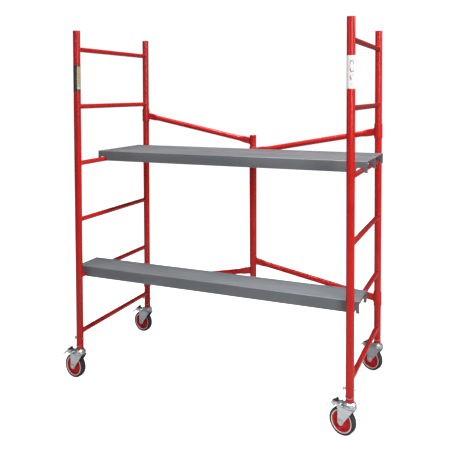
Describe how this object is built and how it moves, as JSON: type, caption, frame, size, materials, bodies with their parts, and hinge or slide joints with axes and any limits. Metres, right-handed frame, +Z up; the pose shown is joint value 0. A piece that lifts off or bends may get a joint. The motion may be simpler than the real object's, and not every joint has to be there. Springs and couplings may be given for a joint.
{
  "type": "baker scaffold",
  "caption": "Rolling work platform: two tube ladder frames joined by a folding rear brace, with hook-on sheet planks and swivel casters that lock.",
  "frame": {"origin": "on the floor, below the middle of the object's bounding box", "axes": "+X along the planks, +Y to the rear where the folding brace is, +Z up"},
  "size_m": [1.63, 0.802, 1.877],
  "materials": {
    "red_paint": "glossy red powder coat over steel tube, slight orange peel",
    "grey_deck": "semi-gloss blue-grey paint over folded steel sheet",
    "zinc_plate": "bright zinc plate with a faint blue tint",
    "red_hub": "satin red moulded plastic",
    "tyre_rubber": "matte dark grey rubber"
  },
  "bodies": {
    "left_ladder": {"left_front_leg": "red_paint", "left_rear_leg": "red_paint", "left_rung_1": "red_paint", "left_rung_2": "red_paint", "left_rung_3": "red_paint", "left_rung_4": "red_paint", "left_rung_5": "red_paint", "left_rung_6": "red_paint", "left_front_caster_stem": "zinc_plate", "left_rear_caster_stem": "zinc_plate"},
    "right_ladder": {"right_front_leg": "red_paint", "right_rear_leg": "red_paint", "right_rung_1": "red_paint", "right_rung_2": "red_paint", "right_rung_3": "red_paint", "right_rung_4": "red_paint", "right_rung_5": "red_paint", "right_rung_6": "red_paint", "right_front_caster_stem": "zinc_plate", "right_rear_caster_stem": "zinc_plate"},
    "left_wing": {"brace_post": "red_paint", "left_wing_upper_arm": "red_paint", "left_wing_upper_sleeve": "red_paint", "left_wing_lower_arm": "red_paint", "left_wing_lower_sleeve": "red_paint"},
    "right_wing": {"brace_post_sleeve": "red_paint", "right_wing_upper_arm": "red_paint", "right_wing_upper_sleeve": "red_paint", "right_wing_lower_arm": "red_paint", "right_wing_lower_sleeve": "red_paint"},
    "upper_rear_plank": {"upper_rear_plank": "grey_deck", "upper_rear_plank_rib": "grey_deck"},
    "upper_middle_plank": {"upper_middle_plank": "grey_deck", "upper_middle_plank_rib": "grey_deck"},
    "lower_front_plank": {"lower_front_plank": "grey_deck", "lower_front_plank_rib": "grey_deck"},
    "left_front_swivel": {"left_front_caster_fork": "zinc_plate", "left_front_caster_axle": "zinc_plate"},
    "left_front_wheel": {"left_front_caster_hub": "red_hub", "left_front_caster_tyre": "tyre_rubber"},
    "left_front_pedal": {"left_front_caster_pedal": "zinc_plate"},
    "left_front_pin": {"left_front_caster_pin": "zinc_plate"},
    "left_rear_swivel": {"left_rear_caster_fork": "zinc_plate", "left_rear_caster_axle": "zinc_plate"},
    "left_rear_wheel": {"left_rear_caster_hub": "red_hub", "left_rear_caster_tyre": "tyre_rubber"},
    "left_rear_pedal": {"left_rear_caster_pedal": "zinc_plate"},
    "left_rear_pin": {"left_rear_caster_pin": "zinc_plate"},
    "right_front_swivel": {"right_front_caster_fork": "zinc_plate", "right_front_caster_axle": "zinc_plate"},
    "right_front_wheel": {"right_front_caster_hub": "red_hub", "right_front_caster_tyre": "tyre_rubber"},
    "right_front_pedal": {"right_front_caster_pedal": "zinc_plate"},
    "right_front_pin": {"right_front_caster_pin": "zinc_plate"},
    "right_rear_swivel": {"right_rear_caster_fork": "zinc_plate", "right_rear_caster_axle": "zinc_plate"},
    "right_rear_wheel": {"right_rear_caster_hub": "red_hub", "right_rear_caster_tyre": "tyre_rubber"},
    "right_rear_pedal": {"right_rear_caster_pedal": "zinc_plate"},
    "right_rear_pin": {"right_rear_caster_pin": "zinc_plate"}
  },
  "joints": [
    {"name": "brace_fold", "type": "hinge", "parent": "left_ladder", "child": "left_wing", "pos_m": [-0.68631, 0.34003, 0.87], "axis": [0, 0, 1], "range_deg": [0, 76]},
    {"name": "brace_post_turn", "type": "hinge", "parent": "left_wing", "child": "right_wing", "pos_m": [0.04669, 0.34003, 0.87], "axis": [0, 0, 1], "range_deg": [-152, 0]},
    {"name": "right_ladder_turn", "type": "hinge", "parent": "right_wing", "child": "right_ladder", "pos_m": [0.77969, 0.34003, 0.87], "axis": [0, 0, 1], "range_deg": [0, 76]},
    {"name": "upper_rear_plank_lift", "type": "slide", "parent": "left_ladder", "child": "upper_rear_plank", "axis": [0, 0, 1], "range_m": [0, 0.2398]},
    {"name": "upper_middle_plank_lift", "type": "slide", "parent": "left_ladder", "child": "upper_middle_plank", "axis": [0, 0, 1], "range_m": [0, 0.2398]},
    {"name": "lower_front_plank_lift", "type": "slide", "parent": "left_ladder", "child": "lower_front_plank", "axis": [0, 0, 1], "range_m": [0, 0.2398]},
    {"name": "left_front_swivel", "type": "hinge", "parent": "left_ladder", "child": "left_front_swivel", "pos_m": [-0.68631, -0.36996, 0.151], "axis": [0, 0, 1], "continuous": true},
    {"name": "left_front_wheel_spin", "type": "hinge", "parent": "left_front_swivel", "child": "left_front_wheel", "pos_m": [-0.72196, -0.36495, 0.0635], "axis": [-0.1392, -0.9903, 0], "continuous": true},
    {"name": "left_front_brake_press", "type": "hinge", "parent": "left_front_swivel", "child": "left_front_pedal", "pos_m": [-0.73582, -0.36301, 0.139], "axis": [-0.1392, -0.9903, 0], "range_deg": [0, 12]},
    {"name": "left_front_pin_pull", "type": "slide", "parent": "left_ladder", "child": "left_front_pin", "axis": [-1, 0, 0], "range_m": [0, 0.06]},
    {"name": "left_rear_swivel", "type": "hinge", "parent": "left_ladder", "child": "left_rear_swivel", "pos_m": [-0.68631, 0.34003, 0.151], "axis": [0, 0, 1], "continuous": true},
    {"name": "left_rear_wheel_spin", "type": "hinge", "parent": "left_rear_swivel", "child": "left_rear_wheel", "pos_m": [-0.72186, 0.34567, 0.0635], "axis": [-0.1564, -0.9877, 0], "continuous": true},
    {"name": "left_rear_brake_press", "type": "hinge", "parent": "left_rear_swivel", "child": "left_rear_pedal", "pos_m": [-0.73569, 0.34786, 0.139], "axis": [-0.1564, -0.9877, 0], "range_deg": [0, 12]},
    {"name": "left_rear_pin_pull", "type": "slide", "parent": "left_ladder", "child": "left_rear_pin", "axis": [-1, 0, 0], "range_m": [0, 0.06]},
    {"name": "right_front_swivel", "type": "hinge", "parent": "right_ladder", "child": "right_front_swivel", "pos_m": [0.77969, -0.36996, 0.151], "axis": [0, 0, 1], "continuous": true},
    {"name": "right_front_wheel_spin", "type": "hinge", "parent": "right_front_swivel", "child": "right_front_wheel", "pos_m": [0.74545, -0.35884, 0.0635], "axis": [-0.309, -0.9511, 0], "continuous": true},
    {"name": "right_front_brake_press", "type": "hinge", "parent": "right_front_swivel", "child": "right_front_pedal", "pos_m": [0.73214, -0.35451, 0.139], "axis": [-0.309, -0.9511, 0], "range_deg": [0, 12]},
    {"name": "right_front_pin_pull", "type": "slide", "parent": "right_ladder", "child": "right_front_pin", "axis": [-1, 0, 0], "range_m": [0, 0.06]},
    {"name": "right_rear_swivel", "type": "hinge", "parent": "right_ladder", "child": "right_rear_swivel", "pos_m": [0.77969, 0.34003, 0.151], "axis": [0, 0, 1], "continuous": true},
    {"name": "right_rear_wheel_spin", "type": "hinge", "parent": "right_rear_swivel", "child": "right_rear_wheel", "pos_m": [0.74631, 0.35352, 0.0635], "axis": [-0.3746, -0.9272, 0], "continuous": true},
    {"name": "right_rear_brake_press", "type": "hinge", "parent": "right_rear_swivel", "child": "right_rear_pedal", "pos_m": [0.73333, 0.35877, 0.139], "axis": [-0.3746, -0.9272, 0], "range_deg": [0, 12]},
    {"name": "right_rear_pin_pull", "type": "slide", "parent": "right_ladder", "child": "right_rear_pin", "axis": [-1, 0, 0], "range_m": [0, 0.06]}
  ],
  "couplings": [
    {"joint": "brace_post_turn", "follows": "brace_fold", "ratio": -2},
    {"joint": "right_ladder_turn", "follows": "brace_fold", "ratio": 1},
    {"joint": "upper_rear_plank_lift", "follows": "brace_fold", "m_per_rad": 0.18},
    {"joint": "upper_middle_plank_lift", "follows": "brace_fold", "m_per_rad": 0.18},
    {"joint": "lower_front_plank_lift", "follows": "brace_fold", "m_per_rad": 0.18}
  ]
}
